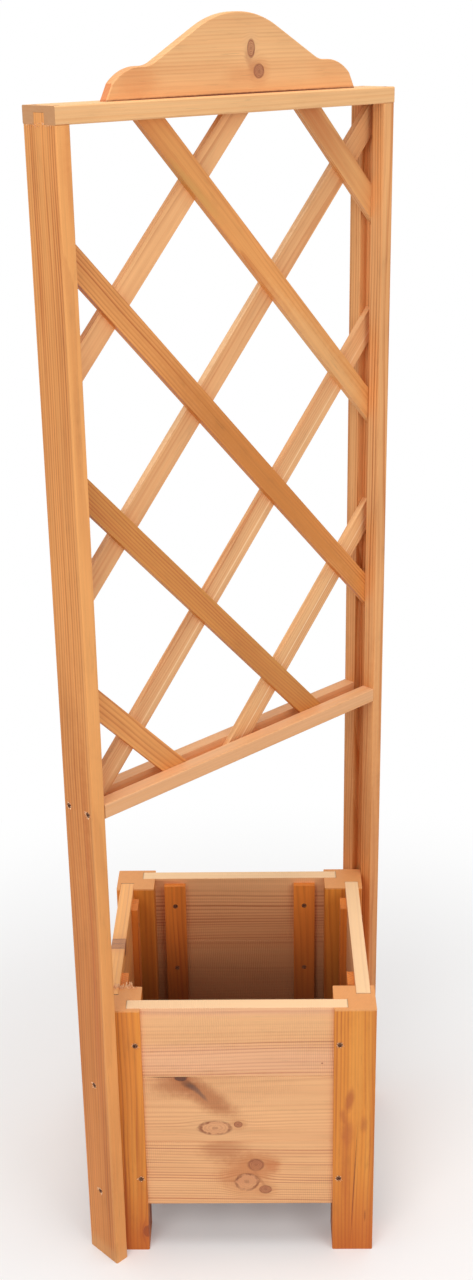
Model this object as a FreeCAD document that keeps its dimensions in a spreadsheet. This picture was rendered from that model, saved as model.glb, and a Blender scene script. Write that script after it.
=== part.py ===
import FreeCAD, Part
import os
import Sketcher

# Square wooden planter box with a tall lattice trellis standing on its
# diagonal.  The origin is the middle of the box on the ground, +Z is up,
# the box walls face +-X and +-Y.  The trellis runs from the front left
# corner (-X -Y) to the back right corner (+X +Y).  All sizes are in mm.

os.makedirs("parts", exist_ok=True)
doc = FreeCAD.newDocument("planter_with_trellis")
sheet = doc.addObject("Spreadsheet::Sheet", "sizes")

SIZES = [
    # box: four corner legs and three boards on each side, held in grooves
    ("box_size", 395.0),
    ("leg_size", 60.0),
    ("leg_height", 426.0),
    ("leg_cheek", 5.8),
    ("leg_groove_depth", 20.0),
    ("leg_round", 2.0),
    ("board_thickness", 21.0),
    ("board_height", 114.0),
    ("top_board_height", 117.0),
    ("board_round", 0.8),
    ("groove_play", 0.2),
    ("board_end_gap", 0.5),
    # frame: grooved timber used for the posts and both rails
    ("frame_thickness", 21.0),
    ("frame_depth", 60.0),
    ("frame_groove_width", 19.0),
    ("frame_groove_depth", 13.4),
    ("frame_round", 2.0),
    ("nest_gap", 0.2),
    ("post_height", 1617.0),
    ("bottom_rail_height", 738.0),
    ("rail_end_gap", 0.3),
    ("tongue_gap", 0.2),
    # lattice: crossing slats in two layers
    ("slat_width", 32.0),
    ("slat_thickness", 9.0),
    ("slat_angle", 45.8),
    ("lattice_rows", 3.0),
    ("lattice_slack", 6.0),
    ("slat_end_gap", 0.4),
    ("front_slat_shift", 10.0),
    ("back_slat_shift", 19.5),
    # crest board on the top rail
    ("crest_thickness", 13.0),
    ("crest_offset", 20.0),
    ("crest_half_width", 216.5),
    ("crest_height", 96.5),
    ("crest_foot_half", 206.0),
    ("crest_foot_height", 19.5),
    ("crest_shoulder_half", 162.0),
    ("crest_shoulder_height", 37.5),
    ("crest_waist_half", 156.0),
    ("crest_hollow_half", 139.5),
    ("crest_hollow_height", 41.6),
    ("crest_dome_half", 68.0),
    ("crest_dome_height", 79.5),
    ("crest_shoulder_radius", 64.0),
    ("crest_hollow_radius", 36.0),
    ("crest_dome_radius", 145.0),
    ("crest_chamfer", 1.2),
    # cleats that tie the wall boards together
    ("cleat_width", 34.0),
    ("cleat_thickness", 10.0),
    ("cleat_leg_gap", 15.5),
    ("cleat_drop", 9.0),
    ("cleat_lift", 2.0),
    # floor: battens on the bottom boards carry the floor slats
    ("batten_thickness", 21.0),
    ("batten_height", 30.0),
    ("batten_end_gap", 1.0),
    ("floor_thickness", 15.0),
    ("floor_gap", 5.0),
    ("floor_edge_gap", 2.0),
    # screws and brads
    ("screw_shank", 4.0),
    ("screw_head", 8.0),
    ("screw_head_depth", 3.6),
    ("screw_point", 5.0),
    ("screw_tip", 0.8),
    ("recess_width", 1.1),
    ("recess_span", 4.4),
    ("recess_depth", 1.8),
    ("long_screw", 50.0),
    ("post_screw", 45.0),
    ("wall_screw", 36.0),
    ("short_screw", 24.0),
    ("crest_screw", 34.0),
    ("brad_shank", 1.6),
    ("brad_length", 15.0),
    ("brad_head", 2.9),
    ("brad_head_depth", 0.8),
    ("wall_screw_inset", 8.3),
    ("wall_screw_drop", 59.0),
    ("wall_screw_rise", 51.0),
    ("post_screw_drop", 120.0),
    ("post_screw_rise", 118.0),
    ("cleat_screw_drop", 46.0),
    ("crest_screw_inset", 36.0),
    ("batten_screw_inset", 42.5),
]
for row, (alias, value) in enumerate(SIZES, start=1):
    sheet.set("A%d" % row, alias)
    sheet.set("B%d" % row, "%g" % value)
    sheet.setAlias("B%d" % row, alias)
doc.recompute()

nodes = []


def number(formula):
    """Value of a formula of the sheet, as a plain number."""
    value = sheet.evalExpression(formula)
    return float(getattr(value, "Value", value))


def bind(item, formulas):
    """Ties properties of an object to formulas of the sheet."""
    for name, formula in formulas.items():
        item.setExpression(name, formula)
    return item


def place(item, x="0", y="0", z="0", turn=0.0, rotation=None):
    """Puts an object at formulas x, y, z, turned about Z or as told."""
    if rotation is None:
        rotation = FreeCAD.Rotation(FreeCAD.Vector(0, 0, 1), turn)
    item.Placement = FreeCAD.Placement(FreeCAD.Vector(0, 0, 0), rotation)
    return bind(item, {
        ".Placement.Base.x": x,
        ".Placement.Base.y": y,
        ".Placement.Base.z": z,
    })


def diagonal(along, across="0"):
    """World x and y of a point on the trellis: along it, and behind it."""
    x = "((%s) - (%s)) / sqrt(2)" % (along, across)
    y = "((%s) + (%s)) / sqrt(2)" % (along, across)
    return x, y


def draw(body, name, plane, loops, lift=None):
    """Sketch of closed loops of corners (x, y, radius of the next edge).

    A radius bulges the edge outwards when the loop runs anticlockwise and
    the formula is positive, and hollows it when it starts with a minus.
    """
    sketch = body.newObject("Sketcher::SketchObject", name)
    origin = [f for f in body.Origin.OriginFeatures if f.Role == plane][0]
    sketch.AttachmentSupport = [(origin, "")]
    sketch.MapMode = "FlatFace"
    if lift:
        bind(sketch, {".AttachmentOffset.Base.z": lift})
    for loop in loops:
        first = sketch.GeometryCount
        corners = [FreeCAD.Vector(number(c[0]), number(c[1]), 0) for c in loop]
        ends = []
        for i, corner in enumerate(loop):
            start = corners[i]
            stop = corners[(i + 1) % len(loop)]
            if len(corner) < 3:
                sketch.addGeometry(Part.LineSegment(start, stop), False)
                ends.append((1, 2))
                continue
            radius = number(corner[2])
            chord = stop - start
            side = FreeCAD.Vector(-chord.y, chord.x, 0).normalize()
            reach = (radius ** 2 - chord.Length ** 2 / 4) ** 0.5
            centre = (start + stop) * 0.5 + side * (reach if radius > 0 else -reach)
            circle = Part.Circle(centre, FreeCAD.Vector(0, 0, 1), abs(radius))
            ends.append((1, 2) if radius > 0 else (2, 1))
            first_end, last_end = (start, stop) if radius > 0 else (stop, start)
            arc = Part.ArcOfCircle(circle, circle.parameter(first_end), circle.parameter(last_end))
            sketch.addGeometry(arc, False)
            rule = sketch.addConstraint(Sketcher.Constraint("Radius", first + i, abs(radius)))
            sketch.setExpression("Constraints[%d]" % rule, "abs(%s)" % corner[2])
        for i in range(len(loop)):
            follow = (i + 1) % len(loop)
            sketch.addConstraint(Sketcher.Constraint(
                "Coincident", first + i, ends[i][1], first + follow, ends[follow][0]))
        for i, corner in enumerate(loop):
            spot = (first + i, ends[i][0])
            for kind, formula, value, axis in (
                    ("DistanceX", corner[0], corners[i].x, -2),
                    ("DistanceY", corner[1], corners[i].y, -1)):
                if abs(value) < 1e-9:
                    sketch.addConstraint(Sketcher.Constraint("PointOnObject", *spot, axis))
                    continue
                line = (-1, 1) + spot if value > 0 else spot + (-1, 1)
                rule = sketch.addConstraint(Sketcher.Constraint(kind, *line, abs(value)))
                sketch.setExpression("Constraints[%d]" % rule, "abs(%s)" % formula)
    return sketch


def rectangle(x0, y0, x1, y1):
    return [(x0, y0), (x1, y0), (x1, y1), (x0, y1)]


def pad(body, name, sketch, length):
    feature = body.newObject("PartDesign::Pad", name)
    feature.Profile = sketch
    bind(feature, {"Length": length})
    sketch.recompute()
    feature.recompute()
    return feature


def ease_edges(body, name, kind, size, wanted):
    """Rounds (Fillet) or bevels (Chamfer) the edges that wanted() picks."""
    feature = body.Tip
    names = []
    for i, edge in enumerate(feature.Shape.Edges, start=1):
        if wanted(edge):
            names.append("Edge%d" % i)
    easing = body.newObject("PartDesign::" + kind, name)
    easing.Base = (feature, names)
    bind(easing, {"Radius" if kind == "Fillet" else "Size": size})
    easing.recompute()
    return easing


def runs_along(edge, axis):
    """Whether an edge is straight along one of the axes 0, 1, 2."""
    if len(edge.Vertexes) != 2:
        return False
    step = edge.Vertexes[1].Point - edge.Vertexes[0].Point
    return abs(abs(step[axis]) - step.Length) < 1e-6


def at_corner(edge, values):
    """Whether the middle of an edge lies at the given coordinates."""
    middle = edge.CenterOfMass
    return all(min(abs(middle[axis] - v) for v in wanted) < 1e-3
               for axis, wanted in values.items())


def group(name, items):
    compound = doc.addObject("Part::Compound", name)
    compound.Links = items
    return compound


def finish(label, blank, screws=None):
    """Registers a piece, bored for the screws that pass through it."""
    piece = blank
    if screws is not None:
        piece = doc.addObject("Part::Cut", label + "_bored")
        piece.Base = blank
        piece.Tool = screws
    blank.Label = label + "_blank" if piece is not blank else label
    piece.Label = label
    nodes.append(piece)
    return piece


# Derived places, as formulas of the named sizes.
BOX_HALF = "(sizes.box_size / 2)"
LEG_IN = "(sizes.box_size / 2 - sizes.leg_size)"
WALL_OUT = "(sizes.box_size / 2 - sizes.leg_cheek - sizes.groove_play)"
WALL_IN = "(%s - sizes.board_thickness)" % WALL_OUT
CLEAT_AT = "(%s - sizes.cleat_leg_gap - sizes.cleat_width / 2)" % LEG_IN
WALL_BOTTOM = "(sizes.leg_height - sizes.top_board_height - 2 * sizes.board_height)"
FLOOR_TOP = "(%s + sizes.batten_height + sizes.floor_thickness)" % WALL_BOTTOM
POST_IN = "(sizes.box_size / sqrt(2) - sizes.frame_groove_width / 2 + sizes.nest_gap)"
POST_OUT = "(%s + sizes.frame_thickness)" % POST_IN
RAIL_TOP = "(sizes.post_height + sizes.frame_thickness)"
WEB = "(sizes.frame_thickness - sizes.frame_groove_depth)"
CHEEK_MIDDLE = "((sizes.frame_depth + sizes.frame_groove_width) / 4)"
SLAT_FLOOR = "(sizes.bottom_rail_height + %s + sizes.slat_end_gap)" % WEB
SLAT_ROOF = "(sizes.post_height + sizes.frame_groove_depth - sizes.slat_end_gap)"
SLAT_REACH = "(%s + sizes.frame_groove_depth - sizes.slat_end_gap)" % POST_IN
LATTICE_MIDDLE = ("((sizes.bottom_rail_height + sizes.frame_thickness"
                  " + sizes.post_height) / 2)")
SLOPE = "(sizes.slat_angle * 1deg)"
PITCH = ("((sizes.post_height - sizes.bottom_rail_height - sizes.frame_thickness"
         " - sizes.lattice_slack) / sizes.lattice_rows)")


# Screws: countersunk head, plain shank, point, and a cross recess.  The head
# is flush with the wood, and each piece is bored by the plain screws, so the
# recess stays hollow.
def recess_pattern():
    arms = []
    for i in range(2):
        arm = bind(doc.addObject("Part::Box", "recess_arm_%d" % (i + 1)), {
            "Length": "sizes.recess_span" if i == 0 else "sizes.recess_width",
            "Width": "sizes.recess_width" if i == 0 else "sizes.recess_span",
            "Height": "sizes.recess_depth",
        })
        span = "-sizes.recess_span / 2"
        width = "-sizes.recess_width / 2"
        place(arm, x=span if i == 0 else width, y=width if i == 0 else span,
              z="-sizes.recess_depth")
        arms.append(arm)
    cross = doc.addObject("Part::MultiFuse", "recess_cross")
    cross.Shapes = arms
    return cross


def screw_pattern(name, length):
    """A plain screw that bores the wood, and the same with its recess."""
    head = bind(doc.addObject("Part::Cone", name + "_head"), {
        "Radius1": "sizes.screw_shank / 2",
        "Radius2": "sizes.screw_head / 2",
        "Height": "sizes.screw_head_depth",
    })
    place(head, z="-sizes.screw_head_depth")
    shank = bind(doc.addObject("Part::Cylinder", name + "_shank"), {
        "Radius": "sizes.screw_shank / 2",
        "Height": "%s - sizes.screw_head_depth - sizes.screw_point" % length,
    })
    place(shank, z="sizes.screw_point - %s" % length)
    point = bind(doc.addObject("Part::Cone", name + "_point"), {
        "Radius1": "sizes.screw_tip / 2",
        "Radius2": "sizes.screw_shank / 2",
        "Height": "sizes.screw_point",
    })
    place(point, z="-%s" % length)
    plain = doc.addObject("Part::MultiFuse", name + "_plain")
    plain.Shapes = [head, shank, point]
    recessed = doc.addObject("Part::Cut", name + "_recessed")
    recessed.Base = plain
    recessed.Tool = recess
    return plain, recessed


def copies(name, pattern, spots):
    """One copy of a pattern at each spot (x, y, z, direction driven in)."""
    links = []
    for i, (x, y, z, aim) in enumerate(spots, start=1):
        link = doc.addObject("App::Link", "%s_%d" % (name, i))
        link.LinkedObject = pattern
        rotation = FreeCAD.Rotation(FreeCAD.Vector(0, 0, -1), FreeCAD.Vector(*aim))
        place(link, x, y, z, rotation=rotation)
        links.append(link)
    return group(name + "_group", links)


def drive(name, patterns, spots):
    """Sets one fastener at each spot and returns what bores the wood."""
    plain, recessed = patterns
    finish(name, copies(name + "_set", recessed, spots))
    if recessed is plain:
        return nodes[-1]
    return copies(name + "_bore", plain, spots)


recess = recess_pattern()
long_screw = screw_pattern("long_screw", "sizes.long_screw")
post_screw = screw_pattern("post_screw", "sizes.post_screw")
wall_screw = screw_pattern("wall_screw", "sizes.wall_screw")
short_screw = screw_pattern("short_screw", "sizes.short_screw")
crest_screw = screw_pattern("crest_screw", "sizes.crest_screw")

# Box screws: two through each outer leg face into the top and bottom boards.
SIDES = ((0, -1), (1, 0), (0, 1), (-1, 0))
spots = []
for out_x, out_y in SIDES:
    for end in (-1, 1):
        for height in ("sizes.leg_height - sizes.wall_screw_drop",
                       "%s + sizes.wall_screw_rise" % WALL_BOTTOM):
            run = "%d * (%s + sizes.wall_screw_inset)" % (end, LEG_IN)
            x = "%d * %s" % (out_x, BOX_HALF) if out_x else run
            y = "%d * %s" % (out_y, BOX_HALF) if out_y else run
            spots.append((x, y, height, (-out_x, -out_y, 0)))
leg_wall_screws = drive("leg_wall_screws", wall_screw, spots)

# Post screws: two through the web of each post into the corner of the leg.
spots = []
for end in (-1, 1):
    for height in ("sizes.leg_height - sizes.post_screw_drop", "sizes.post_screw_rise"):
        x, y = diagonal("%d * %s" % (end, POST_OUT))
        spots.append((x, y, height, (-end, -end, 0)))
post_leg_screws = drive("post_leg_screws", post_screw, spots)

# Rail screws: two through each post into the end of the bottom rail, and two
# down through each end of the top rail into the cheeks of the post.
low_spots = []
high_spots = []
for end in (-1, 1):
    for cheek in (-1, 1):
        across = "%d * %s" % (cheek, CHEEK_MIDDLE)
        x, y = diagonal("%d * %s" % (end, POST_OUT), across)
        low_spots.append((x, y, "sizes.bottom_rail_height + sizes.frame_thickness / 2",
                          (-end, -end, 0)))
        x, y = diagonal("%d * (%s + sizes.frame_thickness / 2)" % (end, POST_IN), across)
        high_spots.append((x, y, RAIL_TOP, (0, 0, -1)))
bottom_rail_screws = drive("bottom_rail_screws", long_screw, low_spots)
top_rail_screws = drive("top_rail_screws", long_screw, high_spots)

# Crest screws: two up through the web of the top rail into the crest board.
spots = []
for end in (-1, 1):
    x, y = diagonal("sizes.crest_offset + %d * (sizes.crest_waist_half - sizes.crest_screw_inset)" % end)
    spots.append((x, y, "%s - %s" % (RAIL_TOP, WEB), (0, 0, 1)))
crest_screws = drive("crest_screws", crest_screw, spots)

# Cleat screws: one through each cleat into each board of its wall.  Batten
# screws: three through each batten into the bottom board behind it.
cleat_spots = []
batten_spots = []
for out_x, out_y in SIDES:
    for end in (-1, 1):
        for below in range(3):
            depth = "(%s - sizes.cleat_thickness)" % WALL_IN
            run = "%d * %s" % (end, CLEAT_AT)
            x = "%d * %s" % (out_x, depth) if out_x else run
            y = "%d * %s" % (out_y, depth) if out_y else run
            tops = ("sizes.leg_height",
                    "(sizes.leg_height - sizes.top_board_height)",
                    "(sizes.leg_height - sizes.top_board_height - sizes.board_height)")
            cleat_spots.append((x, y, "%s - sizes.cleat_screw_drop" % tops[below],
                                (out_x, out_y, 0)))
    for step in (-1, 0, 1):
        depth = "(%s - sizes.batten_thickness)" % WALL_IN
        run = "%d * (%s - sizes.batten_screw_inset)" % (step, LEG_IN)
        x = "%d * %s" % (out_x, depth) if out_x else run
        y = "%d * %s" % (out_y, depth) if out_y else run
        batten_spots.append((x, y, "%s + sizes.batten_height / 2" % WALL_BOTTOM,
                             (out_x, out_y, 0)))
cleat_screws = drive("cleat_screws", short_screw, cleat_spots)
batten_screws = drive("batten_screws", wall_screw, batten_spots)

# Legs: square, flush with the wall tops, with a stopped groove in each of the
# two inner faces.  The local origin is the outer corner of the leg.
leg_tools = group("leg_fasteners", [leg_wall_screws, post_leg_screws])
leg_corners = (
    ("leg_front_left", -1, -1, 0),
    ("leg_front_right", 1, -1, 90),
    ("leg_back_right", 1, 1, 180),
    ("leg_back_left", -1, 1, 270),
)
for label, side_x, side_y, turn in leg_corners:
    body = doc.addObject("PartDesign::Body", label + "_body")
    section = draw(body, label + "_section", "XY_Plane",
                   [rectangle("0", "0", "sizes.leg_size", "sizes.leg_size")])
    pad(body, label + "_pad", section, "sizes.leg_height")
    full = number("sizes.leg_size")
    ease_edges(body, label + "_edges", "Fillet", "sizes.leg_round",
               lambda e: runs_along(e, 2) and at_corner(e, {0: (0, full), 1: (0, full)}))
    near = "sizes.leg_cheek"
    far = "(sizes.leg_cheek + sizes.board_thickness + 2 * sizes.groove_play)"
    deep = "(sizes.leg_size - sizes.leg_groove_depth)"
    grooves = draw(body, label + "_grooves", "XY_Plane",
                   [rectangle(deep, near, "sizes.leg_size + sizes.leg_round", far),
                    rectangle(near, deep, far, "sizes.leg_size + sizes.leg_round")],
                   lift=WALL_BOTTOM)
    before = body.Tip.Shape.Volume
    pocket = body.newObject("PartDesign::Pocket", label + "_pocket")
    pocket.Profile = grooves
    pocket.Reversed = True
    bind(pocket, {"Length": "sizes.leg_height - %s" % WALL_BOTTOM})
    grooves.recompute()
    pocket.recompute()
    if pocket.Shape.Volume >= before:
        raise ValueError("the grooves of %s cut nothing" % label)
    place(body, "%d * %s" % (side_x, BOX_HALF), "%d * %s" % (side_y, BOX_HALF), turn=turn)
    finish(label, body, leg_tools)

# Walls: three boards on each side, with their ends in the grooves of the legs.
wall_tools = group("wall_fasteners", [leg_wall_screws, cleat_screws, batten_screws])
board_reach = "(%s + sizes.leg_groove_depth - sizes.board_end_gap)" % LEG_IN
levels = (
    ("bottom", WALL_BOTTOM, "sizes.board_height"),
    ("middle", "(%s + sizes.board_height)" % WALL_BOTTOM, "sizes.board_height"),
    ("top", "(%s + 2 * sizes.board_height)" % WALL_BOTTOM, "sizes.top_board_height"),
)
walls = (("front", 0, -1, 0), ("right", 1, 0, 90), ("back", 0, 1, 180), ("left", -1, 0, 270))
for wall, out_x, out_y, turn in walls:
    for level, base, height in levels:
        label = "%s_wall_%s_board" % (wall, level)
        body = doc.addObject("PartDesign::Body", label + "_body")
        section = draw(body, label + "_section", "XY_Plane",
                       [rectangle("-%s" % board_reach, "0", board_reach,
                                  "sizes.board_thickness")])
        pad(body, label + "_pad", section, height)
        ends = (0, number(height))
        faces = (0, number("sizes.board_thickness"))
        ease_edges(body, label + "_edges", "Fillet", "sizes.board_round",
                   lambda e: runs_along(e, 0) and at_corner(e, {1: faces, 2: ends}))
        place(body, "%d * %s" % (out_x, WALL_OUT), "%d * %s" % (out_y, WALL_OUT), base,
              turn=turn)
        finish(label, body, wall_tools)

# Cleats: two short uprights on the inner face of each wall, from just above
# the floor to just below the rim.
for wall, out_x, out_y, turn in walls:
    for end, name in ((-1, "one"), (1, "two")):
        label = "%s_cleat_%s" % (wall, name)
        box = bind(doc.addObject("Part::Box", label + "_box"), {
            "Length": "sizes.cleat_width",
            "Width": "sizes.cleat_thickness",
            "Height": "sizes.leg_height - sizes.cleat_drop - %s - sizes.cleat_lift" % FLOOR_TOP,
        })
        start = "(%d * %s - sizes.cleat_width / 2)" % (end, CLEAT_AT)
        if out_x:
            x = "%d * %s" % (out_x, WALL_IN)
            y = "%d * %s" % (out_x, start)
        else:
            x = "%d * %s" % (-out_y, start)
            y = "%d * %s" % (out_y, WALL_IN)
        place(box, x, y, "%s + sizes.cleat_lift" % FLOOR_TOP, turn=turn)
        finish(label, box, cleat_screws)

# Floor: four battens along the bottom boards between the legs.
batten_half = "(%s - sizes.batten_end_gap)" % LEG_IN
MIDDLE_HALF = "(%s - sizes.floor_edge_gap)" % LEG_IN
MIDDLE_WIDTH = "((2 * %s - 3 * sizes.floor_gap) / 4)" % MIDDLE_HALF
spots = []
for i in range(4):
    for end in (-1, 1):
        x = "-%s + %d * (%s + sizes.floor_gap) + %s / 2" % (
            MIDDLE_HALF, i, MIDDLE_WIDTH, MIDDLE_WIDTH)
        y = "%d * (%s - sizes.batten_thickness / 2)" % (end, WALL_IN)
        spots.append((x, y, FLOOR_TOP, (0, 0, -1)))
for side in (-1, 1):
    for end in (-1, 1):
        spots.append(("%d * (%s - sizes.batten_thickness / 2)" % (side, WALL_IN),
                      "%d * (%s - sizes.batten_screw_inset)" % (end, LEG_IN), FLOOR_TOP, (0, 0, -1)))
floor_screws = drive("floor_screws", short_screw, spots)
batten_tools = group("batten_fasteners", [batten_screws, floor_screws])
for wall, out_x, out_y, turn in walls:
    label = "%s_floor_batten" % wall
    box = bind(doc.addObject("Part::Box", label + "_box"), {
        "Length": "2 * %s" % batten_half,
        "Width": "sizes.batten_thickness",
        "Height": "sizes.batten_height",
    })
    if out_x:
        x = "%d * %s" % (out_x, WALL_IN)
        y = "%d * %s" % (-out_x, batten_half)
    else:
        x = "%d * %s" % (out_y, batten_half)
        y = "%d * %s" % (out_y, WALL_IN)
    place(box, x, y, WALL_BOTTOM, turn=turn)
    finish(label, box, batten_tools)

# Floor slats: four from front to back with drain gaps, and a narrower one
# between the legs along each side wall.
for i in range(4):
    label = "floor_slat_%d" % (i + 1)
    box = bind(doc.addObject("Part::Box", label + "_box"), {
        "Length": MIDDLE_WIDTH,
        "Width": "2 * (%s - sizes.floor_edge_gap)" % WALL_IN,
        "Height": "sizes.floor_thickness",
    })
    place(box, "-%s + %d * (%s + sizes.floor_gap)" % (MIDDLE_HALF, i, MIDDLE_WIDTH),
          "-(%s - sizes.floor_edge_gap)" % WALL_IN,
          "%s + sizes.batten_height" % WALL_BOTTOM)
    finish(label, box, floor_screws)
for side, name in ((-1, "left"), (1, "right")):
    label = "floor_edge_slat_%s" % name
    inner = "(%s + sizes.floor_gap)" % MIDDLE_HALF
    outer = "(%s - sizes.floor_edge_gap)" % WALL_IN
    box = bind(doc.addObject("Part::Box", label + "_box"), {
        "Length": "%s - %s" % (outer, inner),
        "Width": "2 * %s" % MIDDLE_HALF,
        "Height": "sizes.floor_thickness",
    })
    place(box, "-%s" % outer if side < 0 else inner, "-%s" % MIDDLE_HALF,
          "%s + sizes.batten_height" % WALL_BOTTOM)
    finish(label, box, floor_screws)


# Frame: posts and rails share one grooved section.
def grooved_section(body, name, plane, upward):
    """Channel outline: the groove opens at the far or the near side."""
    half = "sizes.frame_depth / 2"
    slot = "sizes.frame_groove_width / 2"
    full = "sizes.frame_thickness"
    if upward:
        loop = [("-" + half, "0"), (half, "0"), (half, full), (slot, full), (slot, WEB),
                ("-" + slot, WEB), ("-" + slot, full), ("-" + half, full)]
    else:
        loop = [("-" + half, "0"), ("-" + slot, "0"), ("-" + slot, "sizes.frame_groove_depth"),
                (slot, "sizes.frame_groove_depth"), (slot, "0"), (half, "0"), (half, full),
                ("-" + half, full)]
    return draw(body, name, plane, [loop])


depth_half = number("sizes.frame_depth / 2")
thick = number("sizes.frame_thickness")

# Posts: from the ground to the underside of the top rail, with the groove
# towards the lattice.  The corner of the leg sits in the groove below, and a
# tongue on top fills the end of the groove of the top rail.
post_tools = group("post_fasteners", [post_leg_screws, bottom_rail_screws, top_rail_screws])
for label, end, turn in (("left_trellis_post", -1, 45), ("right_trellis_post", 1, 225)):
    body = doc.addObject("PartDesign::Body", label + "_body")
    half = "sizes.frame_depth / 2"
    slot = "sizes.frame_groove_width / 2"
    full = "sizes.frame_thickness"
    outline = [("0", "-" + half), (full, "-" + half), (full, "-" + slot), (WEB, "-" + slot),
               (WEB, slot), (full, slot), (full, half), ("0", half)]
    section = draw(body, label + "_section", "XY_Plane", [outline])
    pad(body, label + "_pad", section, "sizes.post_height")
    ease_edges(body, label + "_edges", "Fillet", "sizes.frame_round",
               lambda e: runs_along(e, 2)
               and at_corner(e, {0: (0, thick), 1: (-depth_half, depth_half)}))
    tongue = "(sizes.frame_groove_width / 2 - sizes.tongue_gap)"
    top = draw(body, label + "_tongue_section", "XY_Plane",
               [rectangle("0", "-" + tongue, WEB, tongue)], lift="sizes.post_height")
    pad(body, label + "_tongue", top, "sizes.frame_groove_depth - sizes.tongue_gap")
    x, y = diagonal("%d * %s" % (end, POST_OUT))
    place(body, x, y, turn=turn)
    finish(label, body, post_tools)

# Top rail: over both posts, groove down.  Bottom rail: between the posts,
# groove up.
top_tools = group("top_rail_fasteners", [top_rail_screws, crest_screws])
rails = (
    ("top_rail", False, POST_OUT, "sizes.post_height", top_tools),
    ("bottom_rail", True, "(%s - sizes.rail_end_gap)" % POST_IN,
     "sizes.bottom_rail_height", bottom_rail_screws),
)
for label, upward, reach, base, tools in rails:
    body = doc.addObject("PartDesign::Body", label + "_body")
    section = grooved_section(body, label + "_section", "YZ_Plane", upward)
    pad(body, label + "_pad", section, "2 * %s" % reach)
    ease_edges(body, label + "_edges", "Fillet", "sizes.frame_round",
               lambda e: runs_along(e, 0)
               and at_corner(e, {1: (-depth_half, depth_half), 2: (0, thick)}))
    x, y = diagonal("-%s" % reach)
    place(body, x, y, base, turn=45)
    finish(label, body, tools)

# Crest: a thin board with a domed middle, hollow waists and rounded
# shoulders, standing on the top rail a little to the right of its middle.
body = doc.addObject("PartDesign::Body", "crest_board_body")
right_side = [
    ("sizes.crest_half_width", "0"),
    ("sizes.crest_foot_half", "sizes.crest_foot_height", "sizes.crest_shoulder_radius"),
    ("sizes.crest_shoulder_half", "sizes.crest_shoulder_height"),
    ("sizes.crest_waist_half", "sizes.crest_shoulder_height", "-sizes.crest_hollow_radius"),
    ("sizes.crest_hollow_half", "sizes.crest_hollow_height"),
    ("sizes.crest_dome_half", "sizes.crest_dome_height", "sizes.crest_dome_radius"),
    ("0", "sizes.crest_height", "sizes.crest_dome_radius"),
]
left_side = [
    ("-sizes.crest_dome_half", "sizes.crest_dome_height"),
    ("-sizes.crest_hollow_half", "sizes.crest_hollow_height", "-sizes.crest_hollow_radius"),
    ("-sizes.crest_waist_half", "sizes.crest_shoulder_height"),
    ("-sizes.crest_shoulder_half", "sizes.crest_shoulder_height",
     "sizes.crest_shoulder_radius"),
    ("-sizes.crest_foot_half", "sizes.crest_foot_height"),
    ("-sizes.crest_half_width", "0"),
]
outline = draw(body, "crest_outline", "XZ_Plane", [right_side + left_side])
pad(body, "crest_pad", outline, "sizes.crest_thickness")
crest_faces = (0, -number("sizes.crest_thickness"))
ease_edges(body, "crest_edges", "Chamfer", "sizes.crest_chamfer",
           lambda e: at_corner(e, {1: crest_faces}) and not at_corner(e, {2: (0,)}))
x, y = diagonal("sizes.crest_offset", "sizes.crest_thickness / 2")
place(body, x, y, RAIL_TOP, turn=45)
finish("crest_board", body, crest_screws)

# Lattice: front slats fall to the right, back slats rise to the right.  The
# ends stop just short of the bottoms of the grooves around the opening.
front_lines = []
for step in (-2, -1, 0, 1, 2):
    front_lines.append("(%s + sizes.front_slat_shift + %d * %s)" % (LATTICE_MIDDLE, step, PITCH))
back_lines = []
for step in (-1.5, -0.5, 0.5, 1.5):
    back_lines.append("(%s - sizes.back_slat_shift + %g * %s)" % (LATTICE_MIDDLE, step, PITCH))

# Brads: one from the back at each crossing inside the frame.
brad = bind(doc.addObject("Part::Cylinder", "brad_shank"), {
    "Radius": "sizes.brad_shank / 2",
    "Height": "sizes.brad_length",
})
place(brad, z="-sizes.brad_length")
brad_pattern = doc.addObject("Part::MultiFuse", "brad_solid")
brad_head = bind(doc.addObject("Part::Cylinder", "brad_head"), {
    "Radius": "sizes.brad_head / 2",
    "Height": "sizes.brad_head_depth",
})
place(brad_head, z="-sizes.brad_head_depth")
brad_pattern.Shapes = [brad, brad_head]
spots = []
for front in front_lines:
    for back in back_lines:
        along = "((%s - %s) / 2 / tan%s)" % (front, back, SLOPE)
        height = "((%s + %s) / 2)" % (front, back)
        margin = number("sizes.slat_width")
        if abs(number(along)) > number(POST_IN) - margin:
            continue
        if number(height) > number("sizes.post_height") - margin:
            continue
        if number(height) < number("sizes.bottom_rail_height") + margin:
            continue
        x, y = diagonal(along, "sizes.slat_thickness")
        spots.append((x, y, height, (1, -1, 0)))
lattice_brads = drive("lattice_brads", (brad_pattern, brad_pattern), spots)

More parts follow.
